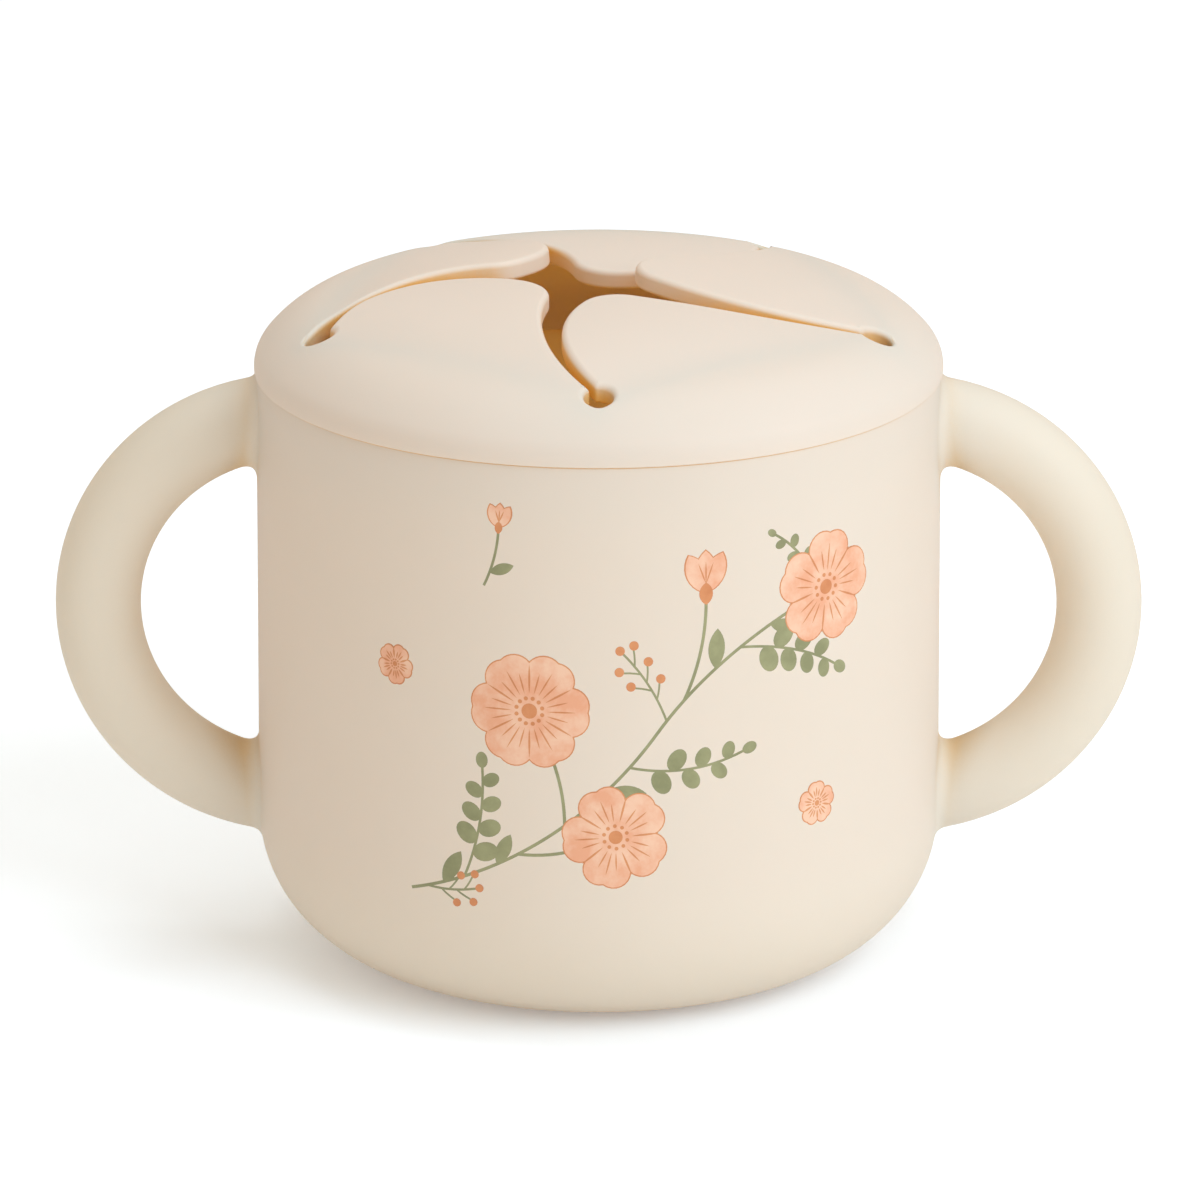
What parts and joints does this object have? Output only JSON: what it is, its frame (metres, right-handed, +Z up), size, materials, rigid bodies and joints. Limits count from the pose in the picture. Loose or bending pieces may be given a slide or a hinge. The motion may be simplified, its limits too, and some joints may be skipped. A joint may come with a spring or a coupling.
{
  "type": "toddler snack container",
  "caption": "Round silicone snack cup with a loop handle on each side and a push-in lid, whose slit middle lets a small hand in and keeps snacks from spilling.",
  "frame": {"origin": "middle of the flat base", "axes": "+Z up, handles along X, +Y to the back"},
  "size_m": [0.144, 0.0906, 0.0943],
  "materials": {
    "cup_silicone": "matte cream silicone",
    "lid_silicone": "matte cream silicone",
    "print_petal": "peach silicone ink",
    "print_line": "rust silicone ink",
    "print_leaf": "sage green silicone ink"
  },
  "bodies": {
    "cup": {"cup": "cup_silicone", "handle_left": "cup_silicone", "handle_right": "cup_silicone"},
    "lid": {"lid_ring": "lid_silicone"},
    "flap_front_left": {"flap_front_left": "lid_silicone"},
    "flap_front_right": {"flap_front_right": "lid_silicone"},
    "flap_back_right": {"flap_back_right": "lid_silicone"},
    "flap_back": {"flap_back": "lid_silicone"},
    "flap_back_left": {"flap_back_left": "lid_silicone"}
  },
  "joints": [
    {"name": "lid_lift", "type": "slide", "parent": "cup", "child": "lid", "axis": [0, 0, 1], "range_m": [0, 0.035]},
    {"name": "front_left_flap_bend", "type": "hinge", "parent": "lid", "child": "flap_front_left", "pos_m": [-0.01812, -0.02494, 0.08689], "axis": [0.809, -0.5878, 0], "range_deg": [-61.5, 33.5], "stiffness_Nm_per_rad": 0.015},
    {"name": "front_right_flap_bend", "type": "hinge", "parent": "lid", "child": "flap_front_right", "pos_m": [0.01812, -0.02494, 0.08689], "axis": [0.809, 0.5878, 0], "range_deg": [-60.5, 34.5], "stiffness_Nm_per_rad": 0.015},
    {"name": "back_right_flap_bend", "type": "hinge", "parent": "lid", "child": "flap_back_right", "pos_m": [0.02932, 0.00953, 0.08689], "axis": [-0.309, 0.9511, 0], "range_deg": [-65.5, 29.5], "stiffness_Nm_per_rad": 0.015},
    {"name": "back_flap_bend", "type": "hinge", "parent": "lid", "child": "flap_back", "pos_m": [0, 0.03082, 0.08689], "axis": [-1, 0, 0], "range_deg": [-53.5, 41.5], "stiffness_Nm_per_rad": 0.015},
    {"name": "back_left_flap_bend", "type": "hinge", "parent": "lid", "child": "flap_back_left", "pos_m": [-0.02932, 0.00953, 0.08689], "axis": [-0.309, -0.9511, 0], "range_deg": [-66.5, 28.5], "stiffness_Nm_per_rad": 0.015}
  ]
}
